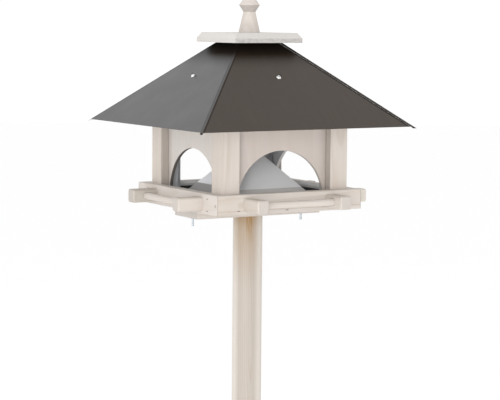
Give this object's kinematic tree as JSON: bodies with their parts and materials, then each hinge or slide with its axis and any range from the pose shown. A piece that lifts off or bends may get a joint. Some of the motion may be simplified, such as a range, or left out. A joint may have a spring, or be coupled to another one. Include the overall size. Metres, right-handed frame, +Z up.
{
  "type": "pole-mounted bird feeder",
  "caption": "Open wooden bird feeder on a round pole, with arched sides, a perch on each side, a seed spreader inside and a sheet-metal pyramid roof with a lift-off cap.",
  "frame": {"origin": "centre of the pole's foot, at ground level", "axes": "+Z up along the pole; the front of the house faces -Y; its sides are square to X and Y"},
  "size_m": [0.4702, 0.4702, 1.5678],
  "materials": {
    "painted_wood": "thin whitewash glaze, satin",
    "cap_wood": "thin grey-white glaze, satin",
    "perch_wood": "whitewash glaze, bare grey end grain",
    "pole_wood": "round pine, clear glaze",
    "roof_metal": "brown-grey coated sheet, satin",
    "spreader_metal": "smooth bright sheet",
    "bolt_metal": "dull zinc",
    "screw_metal": "bright zinc"
  },
  "bodies": {
    "house": {"pole": "pole_wood", "head_plank": "painted_wood", "floor_board": "painted_wood", "tray_board_front": "painted_wood", "tray_board_right": "painted_wood", "tray_board_back": "painted_wood", "tray_board_left": "painted_wood", "post_front_left": "painted_wood", "post_front_right": "painted_wood", "post_back_right": "painted_wood", "post_back_left": "painted_wood", "arch_panel_front": "painted_wood", "top_rail_front": "painted_wood", "roof_sheet_front": "roof_metal", "perch_block_front_left": "perch_wood", "perch_block_front_right": "perch_wood", "perch_dowel_front": "perch_wood", "arch_panel_right": "painted_wood", "top_rail_right": "painted_wood", "roof_sheet_right": "roof_metal", "perch_block_right_left": "perch_wood", "perch_block_right_right": "perch_wood", "perch_dowel_right": "perch_wood", "arch_panel_back": "painted_wood", "top_rail_back": "painted_wood", "roof_sheet_back": "roof_metal", "perch_block_back_left": "perch_wood", "perch_block_back_right": "perch_wood", "perch_dowel_back": "perch_wood", "arch_panel_left": "painted_wood", "top_rail_left": "painted_wood", "roof_sheet_left": "roof_metal", "perch_block_left_left": "perch_wood", "perch_block_left_right": "perch_wood", "perch_dowel_left": "perch_wood", "roof_screws": "screw_metal", "seed_pyramid": "spreader_metal", "bolt_left": "bolt_metal", "bolt_right": "bolt_metal", "nut_left": "bolt_metal", "nut_right": "bolt_metal"},
    "cap": {"cap_board": "cap_wood", "cap_locator": "cap_wood", "finial": "cap_wood"}
  },
  "joints": [
    {"name": "cap_lift", "type": "slide", "parent": "house", "child": "cap", "axis": [0, 0, 1], "range_m": [0, 0.12]}
  ]
}
